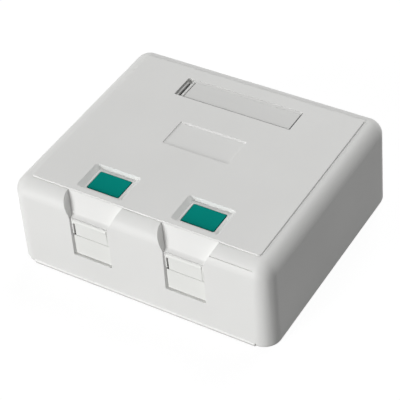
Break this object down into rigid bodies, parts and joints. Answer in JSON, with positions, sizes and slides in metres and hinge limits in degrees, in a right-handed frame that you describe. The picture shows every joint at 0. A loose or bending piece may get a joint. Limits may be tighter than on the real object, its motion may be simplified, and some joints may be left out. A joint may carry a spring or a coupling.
{
  "type": "surface mount jack box",
  "caption": "Low white box that holds modular jacks behind hinged dust flaps, with finger scoops, icon inserts and a clear label window.",
  "frame": {"origin": "centre of the footprint, on the plane of the wall or surface that it is fixed to", "axes": "+Z away from the wall, -Y towards the ports, +X to the right as seen from the ports' side"},
  "size_m": [0.086, 0.0748, 0.0304],
  "materials": {
    "cover_plastic": "fine satin moulded white plastic",
    "base_plastic": "fine satin moulded white plastic",
    "window_plastic": "clear polished plastic",
    "label_paper": "matt pale card",
    "flap_plastic": "fine satin moulded white plastic",
    "icon_plastic": "satin green moulded plastic",
    "screw_steel": "bright zinc plated steel",
    "jack_plastic": "glossy white moulded plastic",
    "contact_gold": "gold plated spring wire",
    "board_laminate": "green lacquered glass laminate",
    "terminal_plastic": "glossy white moulded plastic",
    "blade_tin": "tin plated bronze",
    "cap_plastic": "glossy white moulded plastic"
  },
  "bodies": {
    "base": {"base_plate": "base_plastic", "jack_housing_left": "jack_plastic", "jack_contacts_left": "contact_gold", "jack_board_left": "board_laminate", "terminal_block_left": "terminal_plastic", "terminal_blades_left": "blade_tin", "wire_cap_left": "cap_plastic", "jack_housing_right": "jack_plastic", "jack_contacts_right": "contact_gold", "jack_board_right": "board_laminate", "terminal_block_right": "terminal_plastic", "terminal_blades_right": "blade_tin", "wire_cap_right": "cap_plastic"},
    "cover": {"cover": "cover_plastic", "label_card": "label_paper", "icon_insert_left": "icon_plastic", "cover_screw_left": "screw_steel", "icon_insert_right": "icon_plastic", "cover_screw_right": "screw_steel"},
    "label_window": {"label_window": "window_plastic"},
    "flap_left": {"dust_flap_left": "flap_plastic"},
    "flap_right": {"dust_flap_right": "flap_plastic"}
  },
  "joints": [
    {"name": "cover_lift", "type": "slide", "parent": "base", "child": "cover", "axis": [0, 0, 1], "range_m": [0, 0.04]},
    {"name": "label_window_lift", "type": "slide", "parent": "cover", "child": "label_window", "axis": [0, 0, 1], "range_m": [0, 0.008]},
    {"name": "flap_left_hinge", "type": "hinge", "parent": "cover", "child": "flap_left", "pos_m": [-0.01565, -0.03556, 0.0223], "axis": [-1, 0, 0], "range_deg": [0, 100]},
    {"name": "flap_right_hinge", "type": "hinge", "parent": "cover", "child": "flap_right", "pos_m": [0.01565, -0.03556, 0.0223], "axis": [-1, 0, 0], "range_deg": [0, 100]}
  ]
}
